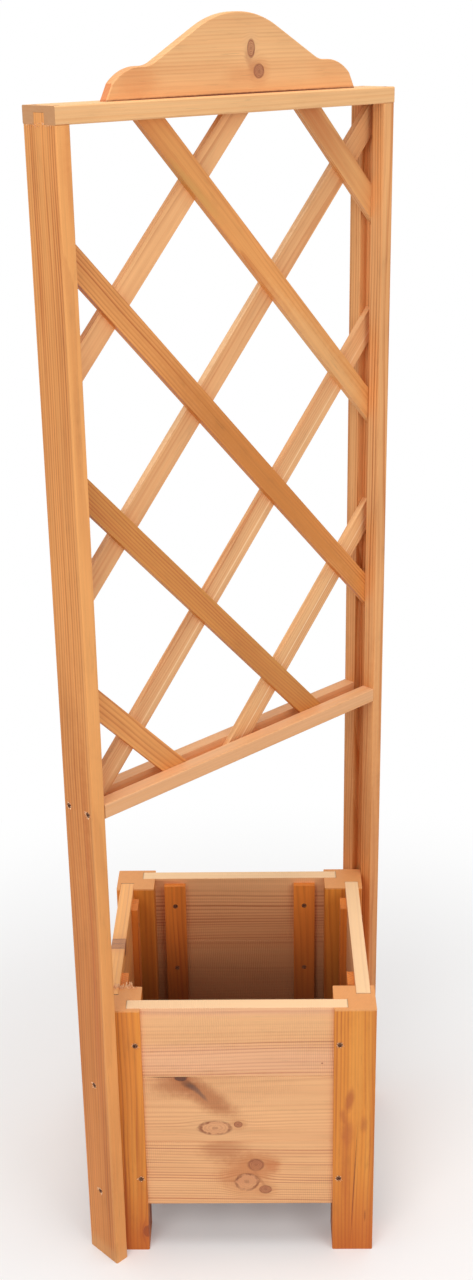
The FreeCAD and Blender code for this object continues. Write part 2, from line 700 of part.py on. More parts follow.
for layer, lines, tilt, near in (
        ("front", front_lines, 1, "-sizes.slat_thickness"),
        ("back", back_lines, -1, "0")):
    for i, height in enumerate(lines, start=1):
        label = "lattice_%s_%d" % (layer, i)
        reach = "(%s / cos%s + sizes.slat_width)" % (SLAT_REACH, SLOPE)
        slat = bind(doc.addObject("Part::Box", label + "_strip"), {
            "Length": "2 * %s" % reach,
            "Width": "sizes.slat_thickness",
            "Height": "sizes.slat_width",
        })
        rotation = FreeCAD.Rotation(FreeCAD.Vector(0, tilt, 0), number("sizes.slat_angle"))
        half = "sizes.slat_width / 2"
        place(slat,
              "-%s * cos%s - %d * %s * sin%s" % (reach, SLOPE, tilt, half, SLOPE),
              near,
              "%s + %d * %s * sin%s - %s * cos%s" % (height, tilt, reach, SLOPE, half, SLOPE),
              rotation=rotation)
        bind(slat, {".Placement.Rotation.Angle": "sizes.slat_angle * 1deg"})
        window = bind(doc.addObject("Part::Box", label + "_window"), {
            "Length": "2 * %s" % SLAT_REACH,
            "Width": "4 * sizes.slat_thickness",
            "Height": "%s - %s" % (SLAT_ROOF, SLAT_FLOOR),
        })
        place(window, "-%s" % SLAT_REACH, "-2 * sizes.slat_thickness", SLAT_FLOOR)
        trimmed = doc.addObject("Part::Common", label + "_trimmed")
        trimmed.Base = slat
        trimmed.Tool = window
        trimmed.Placement = FreeCAD.Placement(
            FreeCAD.Vector(0, 0, 0), FreeCAD.Rotation(FreeCAD.Vector(0, 0, 1), 45))
        finish(label, trimmed, lattice_brads)

doc.recompute()
for item in doc.Objects:
    if "Invalid" in item.State or "Error" in item.State:
        raise ValueError("%s failed: %s" % (item.Label, item.State))
for piece in nodes:
    shape = piece.Shape
    if shape.isNull() or not shape.isValid() or not shape.Solids:
        raise ValueError("%s has no sound shape" % piece.Label)
for piece in nodes:
    piece.Shape.exportStep("parts/%s.step" % piece.Label)
print("%d pieces" % len(nodes))
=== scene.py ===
import math

import bpy
from mathutils import Euler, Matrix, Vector


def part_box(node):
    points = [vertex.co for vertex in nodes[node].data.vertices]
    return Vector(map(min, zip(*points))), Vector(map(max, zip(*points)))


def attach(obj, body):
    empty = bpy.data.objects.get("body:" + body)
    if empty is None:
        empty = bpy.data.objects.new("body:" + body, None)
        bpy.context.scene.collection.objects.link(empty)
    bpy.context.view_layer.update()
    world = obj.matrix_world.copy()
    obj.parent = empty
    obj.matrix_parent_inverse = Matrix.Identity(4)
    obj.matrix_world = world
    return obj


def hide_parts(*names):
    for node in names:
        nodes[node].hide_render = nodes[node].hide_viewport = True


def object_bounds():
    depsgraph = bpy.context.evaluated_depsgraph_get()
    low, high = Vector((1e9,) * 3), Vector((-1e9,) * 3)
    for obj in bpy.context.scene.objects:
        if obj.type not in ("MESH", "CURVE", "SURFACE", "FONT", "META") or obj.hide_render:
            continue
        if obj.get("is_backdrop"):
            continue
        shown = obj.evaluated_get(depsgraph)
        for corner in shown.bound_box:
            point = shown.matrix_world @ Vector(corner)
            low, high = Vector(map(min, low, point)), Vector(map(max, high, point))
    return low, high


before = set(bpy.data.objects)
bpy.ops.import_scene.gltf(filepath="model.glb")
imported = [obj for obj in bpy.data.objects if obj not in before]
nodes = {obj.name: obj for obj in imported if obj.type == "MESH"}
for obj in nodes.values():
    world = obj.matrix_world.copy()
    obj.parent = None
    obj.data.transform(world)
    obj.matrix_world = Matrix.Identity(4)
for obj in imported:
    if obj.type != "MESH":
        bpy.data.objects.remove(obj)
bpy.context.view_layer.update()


# ---------------------------------------------------------------------------
# Corner legs.  Square softwood posts, planed and stained orange-brown, with
# stopped grooves for the wall boards.  Their feet have drawn up damp and gone
# red-brown, and the tops show open end grain.
# ---------------------------------------------------------------------------
class Signal:
    """A value in a node tree, written like a number in sums."""

    def __init__(self, tree, socket=None):
        self.tree = tree
        self.socket = socket

    def node(self, kind, settings=None, values=None, out=0):
        """Adds a node: its settings first, then the values or links of its sockets."""
        made = self.tree.nodes.new(kind)
        for key, value in (settings or {}).items():
            setattr(made, key, value)
        for key, value in (values or {}).items():
            for item in value if isinstance(value, list) else [value]:
                if isinstance(item, Signal):
                    self.tree.links.new(item.socket, made.inputs[key])
                else:
                    made.inputs[key].default_value = item
        return Signal(self.tree, made.outputs[out] if made.outputs else None)

    def maths(self, operation, *values):
        """A Math node on these values."""
        return self.node("ShaderNodeMath", {"operation": operation}, dict(enumerate(values)))

    def vector(self, operation, *values):
        """A Vector Math node on these vectors."""
        return self.node("ShaderNodeVectorMath", {"operation": operation},
                         dict(enumerate(values)))

    def __add__(self, other):
        return self.maths("ADD", self, other)

    def __sub__(self, other):
        return self.maths("SUBTRACT", self, other)

    def __rsub__(self, other):
        return self.maths("SUBTRACT", other, self)

    def __mul__(self, other):
        return self.maths("MULTIPLY", self, other)

    def __truediv__(self, other):
        return self.maths("DIVIDE", self, other)

    def __rtruediv__(self, other):
        return self.maths("DIVIDE", other, self)

    def __pow__(self, other):
        return self.maths("POWER", self, other)

    def __rpow__(self, other):
        return self.maths("POWER", other, self)

    def __abs__(self):
        return self.maths("ABSOLUTE", self)

    __radd__ = __add__
    __rmul__ = __mul__

    def step(self, low, high):
        """Smooth rise from 0 at low to 1 at high, or a fall where low is the larger."""
        if low > high:
            return 1.0 - self.step(high, low)
        return self.node("ShaderNodeMapRange", {"interpolation_type": "SMOOTHSTEP"},
                         {0: self, 1: low, 2: high, 3: 0.0, 4: 1.0})

    def noise(self, scale, detail=2.0, roughness=0.5):
        """Noise from 0 to 1 over this vector."""
        return self.node("ShaderNodeTexNoise", None, {
            "Vector": self, "Scale": scale, "Detail": detail, "Roughness": roughness})

    def stretch(self, x, y, z):
        """This vector with its parts multiplied, for patterns longer one way."""
        return self.vector("MULTIPLY", self, (x, y, z))

    def scaled(self, amount):
        """This colour or vector multiplied by one number."""
        return self.node("ShaderNodeVectorMath", {"operation": "SCALE"},
                         {0: self, "Scale": amount})

    def between(self, first, second):
        """A colour that turns from first into second as this value goes from 0 to 1."""
        return self.node("ShaderNodeMix", {"data_type": "RGBA"},
                         {0: self, 6: first, 7: second}, out=2)

    def mix(self, other, amount):
        """This colour turning into another by amount, which is a value of the tree."""
        return amount.between(self, other)

    def parts(self):
        """The three numbers of a vector."""
        split = self.node("ShaderNodeSeparateXYZ", None, {0: self})
        return [Signal(self.tree, s) for s in split.socket.node.outputs]


def fresh(block):
    """The emptied node tree of a new material or world, to start expressions from."""
    block.use_nodes = True
    block.node_tree.nodes.clear()
    return Signal(block.node_tree)


def stain(red, green, blue):
    """A colour as it is seen, 0 to 255, in the linear values that nodes use."""
    def linear(value):
        value = value / 255
        return value / 12.92 if value <= 0.04045 else ((value + 0.055) / 1.055) ** 2.4
    return (linear(red), linear(green), linear(blue), 1.0)


def ellipse(along, across, spot_along, spot_across, long, wide, tilt=0.0):
    """Distance from a spot on a face, 1 at the rim of its ellipse."""
    turn = math.radians(tilt)
    dx = along - spot_along
    dy = across - spot_across
    run = dx * (math.cos(turn) / long) + dy * (math.sin(turn) / long)
    side = dy * (math.cos(turn) / wide) - dx * (math.sin(turn) / wide)
    return (run * run + side * side) ** 0.5


def timber(name, turn, centre, early, late, ring, pith, seed, contrast=1.0, saw=0.0,
           fibrous=1.0, arches=0.6, knots=(), stains=(), foot=0.0, inner_shade=0.0, cloudy=1.0,
           rim=0.0, cut=None):
    """Stained softwood cut from a log whose pith lies at pith, in the piece's own axes.

    X runs along the grain, Y across the face and Z through it.  The yearly rings
    are round the pith, so faces show lines or arches and cut ends show arcs.
    ring is the width of a year in metres.  A knot is (along, across, half length,
    half width, core, halo); a stain is such an ellipse with its tilt, tone and
    amount.  cut is the tone of the cut ends.  These are amounts, 0 for none:
    contrast of the yearly lines, saw for cross marks, fibrous for fine stripes,
    arches for lines on flat-cut faces, foot for water drawn up from the ground,
    inner_shade for painted shade that deepens down the inside of the box, cloudy
    for uneven stain, rim for painted light that makes upward faces paler.
    """
    material = bpy.data.materials.new(name)
    start = fresh(material)
    world = start.node("ShaderNodeTexCoord", out=3)
    facing = start.node("ShaderNodeTexCoord", out=1)
    rotation = Euler([math.radians(angle) for angle in turn])
    piece = start.node("ShaderNodeMapping", {"vector_type": "TEXTURE"},
                       {"Vector": world, "Location": centre, "Rotation": rotation})
    shifted = piece.vector("ADD", piece, (seed * 1.37, seed * 0.71, seed * 0.53))
    along, across, through = piece.parts()
    fringe = shifted.noise(110.0, 3.0, 0.62) - 0.5

    # knots push the yearly lines aside
    bent = across
    marks = []
    for spot_along, spot_across, long, wide, core, halo in knots:
        reach = ellipse(along, across, spot_along, spot_across, long, wide) + fringe * 0.55
        flow = ellipse(along, across, spot_along, spot_across, long * 3.0, wide * 2.3)
        bent = bent - (across - spot_across) * flow.step(1.0, 0.15) * 0.80
        marks.append((reach, core, halo))

    # yearly rings: distance from the pith, wandering slowly along the piece
    sway = shifted.stretch(1.7, 5.0, 5.0).noise(1.0, 1.5) - 0.5
    sway_side = shifted.stretch(1.2, 6.0, 6.0).noise(1.3, 1.0) - 0.5
    ripple = shifted.stretch(10.0, 70.0, 70.0).noise(1.0, 2.0) - 0.5
    side = bent - pith[0] + sway * 0.030
    depth = through - pith[1] + sway_side * 0.020
    radius = (side * side + depth * depth) ** 0.5 + ripple * 0.0014
    year = radius / ring + shifted.stretch(0.5, 24.0, 24.0).noise(1.0, 1.0) * 2.2
    within = year.maths("FRACT", year)
    strength = start.node("ShaderNodeTexWhiteNoise", {"noise_dimensions": "1D"},
                          {"W": year.maths("FLOOR", year) + seed})
    patchy = shifted.stretch(2.0, 26.0, 26.0).noise(1.0, 2.0).step(0.25, 0.65)
    summer = within.step(0.35, 0.85) * within.step(1.0, 0.93)
    slant = (abs(side) / radius).step(0.15, 0.80) * (1.0 - arches) + arches
    lines = summer * (strength * 0.75 + 0.25) * (patchy * 0.65 + 0.35) * slant * contrast

    # fine fibres, darker dashes, cloudy take-up of the stain, and saw marks
    fibre = shifted.stretch(9.0, 900.0, 900.0).noise(1.0, 2.0) - 0.5
    stripe = shifted.stretch(2.2, 300.0, 300.0).noise(1.0, 1.0) - 0.5
    streak = shifted.stretch(1.6, 150.0, 150.0).noise(1.0, 2.0) - 0.5
    band = shifted.stretch(1.2, 42.0, 42.0).noise(1.0, 2.0) - 0.5
    dash = shifted.stretch(26.0, 620.0, 620.0).noise(1.0, 1.0).step(0.66, 0.80)
    cloud = shifted.stretch(4.0, 15.0, 15.0).noise(1.0, 3.0, 0.6) - 0.5
    blot = shifted.stretch(16.0, 60.0, 60.0).noise(1.0, 3.0, 0.65).step(0.56, 0.80)
    darkness = (lines * 0.90 + stripe * (0.85 * fibrous) + streak * (0.75 * fibrous)
                + band * (0.90 * cloudy) + cloud * 0.25 + 0.10)
    colour = darkness.between(early, late)
    level = (1.0 + fibre * 0.18 + stripe * (0.22 * fibrous) - cloud * (0.30 * cloudy)
             - dash * 0.14 - blot * (0.12 * cloudy))
    height = fibre * 0.5 - lines * 0.5 - dash * 0.4
    if saw:
        phase = along * (2 * math.pi / SAW_PITCH) + cloud * 4.0 + across * 90.0
        bite = phase.maths("SINE", phase) * shifted.noise(8.0, 1.0).step(0.35, 0.65)
        level = level + bite * (0.035 * saw)
        height = height + bite * (0.6 * saw)

    # local stains: cloudy ellipses, broken up along the grain
    for spot_along, spot_across, long, wide, tilt, tone, amount in stains:
        reach = ellipse(along, across, spot_along, spot_across, long, wide, tilt)
        mask = (reach + fringe * 0.5 + streak * 0.5).step(1.15, 0.25)
        colour = colour.mix(tone, mask * amount)
    colour = colour.scaled(level)

    # knots: a ringed core in a thin dark rim, with a warm halo
    for reach, core, halo in marks:
        turns = reach * 4.3
        rings = turns.maths("FRACT", turns).step(0.30, 0.95)
        inner = reach.step(1.12, 0.90)
        edge = reach.step(0.74, 1.00) * reach.step(1.24, 1.04)
        colour = colour.mix(halo, reach.step(3.0, 0.9) * 0.42)
        colour = colour.mix(core, inner * (0.58 + rings * 0.36))
        colour = colour.mix(KNOT_RIM, edge * (fringe * 2.6 + 0.55)
                            + reach.step(0.34, 0.06) * 0.35 + rings * inner * 0.14)
        height = height - inner * 0.5 - edge * 0.7

    # cut ends drink more stain and look duller; painted light makes upward faces paler
    axis = rotation.to_matrix() @ Vector((1, 0, 0))
    end = abs(start.node("ShaderNodeVectorMath", {"operation": "DOT_PRODUCT"},
                         {0: facing, 1: axis}, out=1)).step(0.60, 0.85)
    colour = colour.mix(cut, end * 0.60) if cut else colour.mix(colour.scaled(0.86), end)
    x, y, z = world.parts()
    # painted light: upward faces turned paler
    if rim:
        upward = facing.parts()[2].step(0.70, 0.95)
        colour = colour.mix(TOP_LIGHT_TONE, upward * rim)
    if foot:
        rise = z + cloud * 0.12 + streak * 0.04
        colour = colour.mix(FOOT_TONE, rise.step(0.16, 0.0) * foot)
    # painted shade: the inside of the box darkens towards the bottom, in two steps
    if inner_shade:
        brim = BOARD_INNER + 0.001
        inside = abs(x).step(brim, BOARD_INNER) * abs(y).step(brim, BOARD_INNER)
        shade_height = z + cloud * 0.10 + streak * 0.03
        colour = colour.mix(INNER_SHADE_TONE, inside * shade_height.step(0.42, 0.30) * (0.45 * inner_shade))
        colour = colour.mix(DEEP_SHADE_TONE, inside * shade_height.step(0.34, 0.20) * (0.80 * inner_shade))

    bump = start.node("ShaderNodeBump", None,
                      {"Strength": 0.40, "Distance": 0.0005, "Height": height})
    shader = start.node("ShaderNodeBsdfPrincipled", None, {
        "Base Color": colour, "Roughness": 0.62 - lines * 0.10 + cloud * 0.14,
        "Normal": bump})
    start.node("ShaderNodeOutputMaterial", None, {0: shader})
    return material


def dress(node, material):
    """Gives a piece of the frame its material."""
    slots = nodes[node].data.materials
    slots.clear()
    slots.append(material)
    for face in nodes[node].data.polygons:
        face.material_index = 0


def middle(node):
    """The middle of a piece of the frame."""
    low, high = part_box(node)
    return (Vector(low) + Vector(high)) / 2


UPRIGHT = (0, -90, -90)
BOARD_INNER = 0.1705
SAW_PITCH = 0.0031
KNOT_RIM = stain(134, 68, 38)
TOP_LIGHT_TONE = stain(252, 216, 168)
FOOT_TONE = stain(190, 82, 8)
INNER_SHADE_TONE = stain(170, 88, 40)
DEEP_SHADE_TONE = stain(84, 40, 22)
LEG_YEAR = 0.0042
LEG_EARLY = stain(228, 142, 50)
LEG_LATE = stain(178, 90, 22)
LEG_PALE = stain(234, 156, 66)
LEG_RED = stain(176, 78, 20)
LEG_CRACK = stain(112, 54, 24)
LEG_CUT = stain(220, 150, 92)
# painted highlight: a pale band along the top edge of each leg
LEG_TOP_HIGHLIGHT = (0.2122, 0.0, 0.0022, 0.4000, 0.0, stain(238, 170, 104), 0.75)
# painted shade: dark spots round the leg screws that stand in for sunken holes
SCREW_HOLE_SHADE = stain(120, 60, 32)
legs = (
    # name, pith, seed, knots, stains
    ("leg_front_left", (0.110, 0.060), 3.0,
     ((-0.178, 0.029, 0.0100, 0.0070, stain(104, 48, 28), stain(176, 84, 34)),), (
        (0.000, -0.023, 0.4000, 0.0055, 0.0, LEG_RED, 0.85),
        (0.010, -0.010, 0.1600, 0.0030, 0.0, LEG_RED, 0.55),
        (-0.060, 0.012, 0.1500, 0.0060, 0.0, LEG_PALE, 0.35),
        (-0.130, -0.004, 0.1000, 0.0080, 0.0, LEG_RED, 0.35),
        # painted shade of the sunken screw holes
        (0.154, 0.0217, 0.0065, 0.0050, 0.0, SCREW_HOLE_SHADE, 0.50),
        (-0.081, 0.0217, 0.0065, 0.0050, 0.0, SCREW_HOLE_SHADE, 0.50))),
    ("leg_front_right", (-0.120, 0.060), 5.2, (), (
        (0.120, 0.003, 0.1600, 0.0140, 0.0, LEG_PALE, 0.60),
        (0.000, 0.020, 0.3000, 0.0050, 0.0, LEG_PALE, 0.45),
        (0.058, -0.007, 0.0240, 0.0080, 10.0, stain(182, 94, 36), 0.80),
        (0.030, -0.016, 0.0160, 0.0060, -8.0, stain(186, 96, 38), 0.60),
        (0.000, -0.010, 0.0300, 0.0120, 0.0, stain(186, 98, 40), 0.60),
        (0.016, 0.014, 0.0180, 0.0060, 0.0, stain(186, 98, 40), 0.50),
        (-0.060, -0.012, 0.1000, 0.0090, 0.0, LEG_RED, 0.40),
        (-0.095, 0.001, 0.1180, 0.0011, 2.2, LEG_CRACK, 0.85),
        (-0.095, 0.004, 0.1180, 0.0012, 2.2, LEG_PALE, 0.60),
        (-0.150, 0.018, 0.0120, 0.0018, 0.0, LEG_CRACK, 0.60),
        # painted shade of the sunken screw holes
        (0.154, -0.0217, 0.0065, 0.0050, 0.0, SCREW_HOLE_SHADE, 0.50),
        (-0.081, -0.0217, 0.0065, 0.0050, 0.0, SCREW_HOLE_SHADE, 0.50))),
    ("leg_back_left", (-0.040, 0.090), 7.7, (), ()),
    ("leg_back_right", (0.050, 0.080), 9.1, (), ()),
)
for name, pith, seed, knots, stains in legs:
    dress(name, timber(name + "_wood", UPRIGHT, middle(name), LEG_EARLY, LEG_LATE, LEG_YEAR,
                       pith, seed, contrast=0.95, foot=0.6, inner_shade=0.6, knots=knots,
                       stains=stains + (LEG_TOP_HIGHLIGHT,), cut=LEG_CUT))


# ---------------------------------------------------------------------------
# Walls.  Three fine-sawn softwood boards on each side, stained a pale tan,
# their ends held in the grooves of the legs.  The front boards carry knots,
# and cross marks of the saw show in low light.
# ---------------------------------------------------------------------------
WALL_EARLY = stain(241, 183, 128)
WALL_LATE = stain(198, 122, 78)
WALL_BROWN = stain(178, 104, 56)
WALL_PINK = stain(244, 186, 150)
KNOT_DARK = stain(44, 28, 30)
KNOT_BROWN = stain(166, 96, 62)
KNOT_PALE = stain(222, 156, 108)
BOARD_GAP = stain(96, 48, 26)
HALO_WARM = stain(208, 134, 80)
HALO_PALE = stain(228, 174, 122)
board_knots = {
    "front_wall_middle_board": (
        (-0.0825, 0.0560, 0.0087, 0.0060, KNOT_DARK, WALL_BROWN),
        (-0.0350, -0.0330, 0.0225, 0.0115, KNOT_PALE, HALO_PALE),
        (-0.0010, -0.0270, 0.0058, 0.0050, KNOT_BROWN, HALO_WARM)),
    "front_wall_bottom_board": (
        (0.0240, 0.0140, 0.0110, 0.0100, KNOT_BROWN, HALO_WARM),
        (0.0110, -0.0170, 0.0165, 0.0145, KNOT_PALE, HALO_WARM),
        (0.0380, -0.0310, 0.0085, 0.0068, KNOT_BROWN, HALO_WARM)),
    "left_wall_top_board": (
        (-0.0230, 0.0560, 0.0130, 0.0160, stain(150, 84, 58), stain(214, 130, 72)),),
    "right_wall_middle_board": (
        (0.0600, 0.0100, 0.0150, 0.0110, KNOT_BROWN, HALO_WARM),),
    "back_wall_bottom_board": (
        (-0.0550, 0.0120, 0.0130, 0.0100, KNOT_BROWN, HALO_WARM),),
}
board_stains = {
    "front_wall_top_board": (
        (0.0000, -0.0300, 0.4000, 0.0340, 0.0, WALL_PINK, 0.42),
        (0.0000, 0.0560, 0.4000, 0.0160, 0.0, WALL_PINK, 0.40),
        (0.0000, 0.0330, 0.6000, 0.0170, 0.0, WALL_EARLY, 0.75),
        (0.1210, -0.0360, 0.0022, 0.0016, 0.0, stain(150, 60, 44), 0.90)),
    "front_wall_middle_board": (
        (-0.0880, 0.0440, 0.0420, 0.0260, 0.0, WALL_BROWN, 0.66),
        (-0.0470, 0.0220, 0.0700, 0.0230, -40.0, WALL_BROWN, 0.76),
        (-0.0740, 0.0460, 0.0170, 0.0075, -34.0, KNOT_DARK, 0.62),
        (-0.0620, 0.0350, 0.0180, 0.0050, -44.0, stain(110, 76, 62), 0.60),
        (-0.0530, 0.0250, 0.0160, 0.0034, -52.0, stain(124, 88, 70), 0.55),
        (-0.0980, 0.0567, 0.0420, 0.0014, 0.0, stain(120, 70, 44), 0.80),
        (-0.0100, -0.0380, 0.1400, 0.0060, 0.0, WALL_BROWN, 0.20)),
    "front_wall_bottom_board": (
        (-0.0220, 0.0430, 0.0440, 0.0280, 0.0, WALL_BROWN, 0.55),
        (0.0100, 0.0060, 0.0560, 0.0360, 20.0, stain(190, 108, 54), 0.60),
        (0.0480, 0.0120, 0.0160, 0.0160, 0.0, stain(196, 106, 50), 0.55),
        (0.0800, 0.0500, 0.1000, 0.0120, 0.0, WALL_EARLY, 0.60),
        (0.0300, -0.0120, 0.0300, 0.0030, -60.0, KNOT_RIM, 0.40)),
}
walls = (
    # wall, turn, plain colour, painted light that makes its upper edge paler
    ("front", (90, 0, 0), WALL_EARLY, 0.70),
    ("right", (90, 0, 90), WALL_EARLY, 0.70),
    ("back", (90, 0, 0), WALL_EARLY, 0.70),
    ("left", (90, 0, 90), stain(252, 178, 98), 0.15),
)
courses = (
    # course, pith, year, contrast, seed
    ("bottom", (0.062, 0.026), 0.0046, 1.25, 14.60),
    ("middle", (0.030, 0.050), 0.0052, 0.60, 12.13),
    ("top", (0.046, 0.026), 0.0056, 1.15, 12.96),
)
for order, (wall, turn, early, top_lit) in enumerate(walls):
    for course, pith, year, contrast, seed in courses:
        name = "%s_wall_%s_board" % (wall, course)
        low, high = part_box(name)
        reach = max(high[0] - low[0], high[1] - low[1]) / 2
        gaps = tuple((end, 0.0, 0.0020, 0.4000, 0.0, BOARD_GAP, 0.90)
                     for end in (-reach, reach))
        dress(name, timber(name + "_wood", turn, middle(name), early, WALL_LATE, year,
                           pith, seed + 3.1 * order, contrast, saw=1.3, inner_shade=0.7,
                           cloudy=0.45, fibrous=0.5, arches=0.35,
                           rim=top_lit if course == "top" else 0.0,
                           knots=board_knots.get(name, ()),
                           stains=board_stains.get(name, ()) + gaps))


# ---------------------------------------------------------------------------
# Cleats and floor.  Rough-sawn slats and battens inside the box, screwed to
# the boards.  Painted shade inside the box turns them dark red-brown, deeper down.
# ---------------------------------------------------------------------------
INNER_EARLY = stain(238, 140, 52)
INNER_LATE = stain(184, 90, 28)
INNER_YEAR = 0.0040
INNER_PITH = (0.030, 0.060)
FLOOR_TURN = (0, 0, 90)
inner_pieces = []
for order, wall in enumerate(("front", "right", "back", "left")):
    for side, end in enumerate(("one", "two")):
        inner_pieces.append(("%s_cleat_%s" % (wall, end), UPRIGHT, 31.0 + order + 0.4 * side))
    lying = FLOOR_TURN if wall in ("left", "right") else (0, 0, 0)
    inner_pieces.append(("%s_floor_batten" % wall, lying, 41.0 + order))
for i in range(4):
    inner_pieces.append(("floor_slat_%d" % (i + 1), FLOOR_TURN, 51.0 + 0.7 * i))
for i, side in enumerate(("left", "right")):
    inner_pieces.append(("floor_edge_slat_" + side, FLOOR_TURN, 57.0 + 0.7 * i))
for name, turn, seed in inner_pieces:
    dress(name, timber(name + "_wood", turn, middle(name), INNER_EARLY, INNER_LATE,
                       INNER_YEAR, INNER_PITH, seed, saw=0.6, inner_shade=0.8))


# ---------------------------------------------------------------------------
# Trellis posts.  Planed softwood channels, honey-brown, running from the
# ground to the top rail on two opposite corners of the box.
# ---------------------------------------------------------------------------
TRELLIS_TURN = 45
POST_EARLY = stain(241, 164, 90)
POST_LATE = stain(188, 102, 36)
# brown for patches on the posts, and for painted shade on their lower parts
POST_BROWN_AND_SHADE = stain(193, 100, 22)
POST_EDGE_HIGHLIGHT = stain(240, 168, 96)
POST_YEAR = 0.0046
posts = (
    # name, plain colour, pith, seed, stains
    ("left_trellis_post", POST_EARLY, (0.125, 0.020), 61.0, (
        # painted shade: the lower part of the post made darker
        (-0.520, 0.000, 0.7000, 0.0800, 0.0, POST_BROWN_AND_SHADE, 0.45),
        (-0.300, -0.014, 0.4000, 0.0060, 0.0, stain(196, 96, 42), 0.35),
        # painted highlight along the edge and narrow front face of the post
        (0.000, -0.0295, 1.6000, 0.0045, 0.0, POST_EDGE_HIGHLIGHT, 0.60),
        (0.620, 0.016, 0.0700, 0.0060, 0.0, POST_BROWN_AND_SHADE, 0.25),
        (-0.050, -0.014, 0.1200, 0.0070, 0.0, POST_BROWN_AND_SHADE, 0.30),
        (-0.815, 0.000, 0.0300, 0.0800, 0.0, stain(230, 172, 112), 0.45))),
    ("right_trellis_post", stain(238, 172, 108), (-0.120, 0.030), 63.5, (
        # painted shade: the lower part of the post made darker
        (-0.520, 0.000, 0.6000, 0.0800, 0.0, POST_BROWN_AND_SHADE, 0.45),
        (0.780, 0.010, 0.0400, 0.0200, 0.0, POST_BROWN_AND_SHADE, 0.35))),
)
for name, early, pith, seed, stains in posts:
    dress(name, timber(name + "_wood", (0, -90, TRELLIS_TURN), middle(name), early,
                       POST_LATE, POST_YEAR, pith, seed, contrast=1.05, fibrous=1.15,
                       stains=stains))


# ---------------------------------------------------------------------------
# Rails.  The same channel as the posts in paler wood: the top rail caps both
# posts with its groove down, the bottom rail sits between them, groove up.
# ---------------------------------------------------------------------------
RAIL_LATE = stain(220, 154, 92)
RAIL_CUT = stain(178, 120, 80)
RAIL_YEAR = 0.0044
rails = (
    # name, plain colour, pith, seed
    ("top_rail", stain(243, 188, 129), (0.030, -0.090), 71.0),
    ("bottom_rail", stain(233, 174, 123), (-0.030, -0.080), 73.0),
)
for name, early, pith, seed in rails:
    dress(name, timber(name + "_wood", (0, 0, TRELLIS_TURN), middle(name), early,
                       RAIL_LATE, RAIL_YEAR, pith, seed, contrast=0.65, cloudy=0.5,
                       cut=RAIL_CUT))


# ---------------------------------------------------------------------------
# Lattice.  Thin planed slats in two crossing layers, their ends held in the
# grooves of the frame: the front ones fall to the right, the back ones rise.
# ---------------------------------------------------------------------------
SLAT_TILT = 45.8
SLAT_LATE = stain(190, 104, 42)
SLAT_HONEY = stain(230, 156, 84)
SLAT_PALE = stain(244, 182, 122)
SLAT_YEAR = 0.0042
lattice = (
    # layer, tilt, seed, contrast, plain colour and pith of each slat from the lowest up
    ("front", SLAT_TILT, 81.0, 1.10, (
        (SLAT_HONEY, (0.014, 0.040)), (stain(210, 140, 64), (0.060, 0.016)),
        (SLAT_HONEY, (0.070, 0.020)), (SLAT_HONEY, (0.004, 0.024)),
        (stain(222, 160, 98), (0.002, 0.120)))),
    ("back", -SLAT_TILT, 101.0, 0.55, (
        (stain(240, 184, 126), (0.034, 0.030)), (stain(234, 176, 120), (0.050, 0.020)),
        # the third back slat's plain colour is darkened as painted shade
        (stain(232, 171, 114), (-0.014, 0.030)), (SLAT_PALE, (0.002, 0.060)))),
)
# painted highlights along both long edges of the back slats
slat_edge_highlights = tuple((0.0, edge, 0.600, 0.0018, 0.0, stain(250, 206, 156), 0.85)
                   for edge in (0.0170, -0.0170))
slat_stains = {
    "lattice_back_1": slat_edge_highlights,
    "lattice_back_2": slat_edge_highlights + (
        # painted shade on the lower end of this slat
        (-0.400, 0.0, 0.070, 0.040, 0.0, stain(214, 140, 88), 0.50),),
    "lattice_back_3": slat_edge_highlights,
    "lattice_front_3": ((0.120, 0.0, 0.340, 0.040, 0.0, stain(206, 125, 48), 0.85),),
    "lattice_front_4": (
        (-0.180, 0.004, 0.070, 0.008, 3.0, stain(196, 150, 76), 0.45),
        (0.170, 0.0, 0.180, 0.030, 0.0, stain(238, 180, 117), 0.70)),
}
for layer, tilt, seed, contrast, slats in lattice:
    for i, (early, pith) in enumerate(slats):
        name = "lattice_%s_%d" % (layer, i + 1)
        dress(name, timber(name + "_wood", (90, tilt, TRELLIS_TURN), middle(name), early,
                           SLAT_LATE, SLAT_YEAR, pith, seed + 1.9 * i, contrast,
                           fibrous=0.7, arches=0.9, stains=slat_stains.get(name, ())))


# ---------------------------------------------------------------------------
# Crest.  A thin shaped board standing on the top rail, pale honey, with two
# knots right of its middle and open end grain on the left shoulder.
# ---------------------------------------------------------------------------
CREST_EARLY = stain(240, 184, 125)
CREST_LATE = stain(208, 134, 76)
CREST_CUT = stain(216, 116, 62)
CREST_YEAR = 0.0042
CREST_PITH = (-0.100, 0.050)
crest_knots = (
    (0.0215, 0.0050, 0.0062, 0.0100, stain(172, 106, 70), HALO_PALE),
    (0.0350, -0.0220, 0.0086, 0.0080, stain(160, 98, 68), HALO_WARM),
)
crest_stains = (
    (0.0050, -0.0250, 0.0400, 0.0120, 0.0, stain(222, 150, 92), 0.50),
    (0.0170, -0.0060, 0.0070, 0.0150, 15.0, stain(186, 118, 72), 0.60),
    (0.0270, -0.0180, 0.0120, 0.0120, 0.0, stain(196, 124, 76), 0.50),
    (-0.1700, -0.0250, 0.0450, 0.0300, 0.0, stain(216, 128, 62), 0.36),
    (0.1700, -0.0200, 0.0500, 0.0250, 0.0, stain(226, 148, 82), 0.24),
    # painted shadow: a dark line along the foot of the crest, where it stands on the rail
    (0.0000, -0.0480, 0.4000, 0.0028, 0.0, stain(100, 42, 18), 1.00),
)
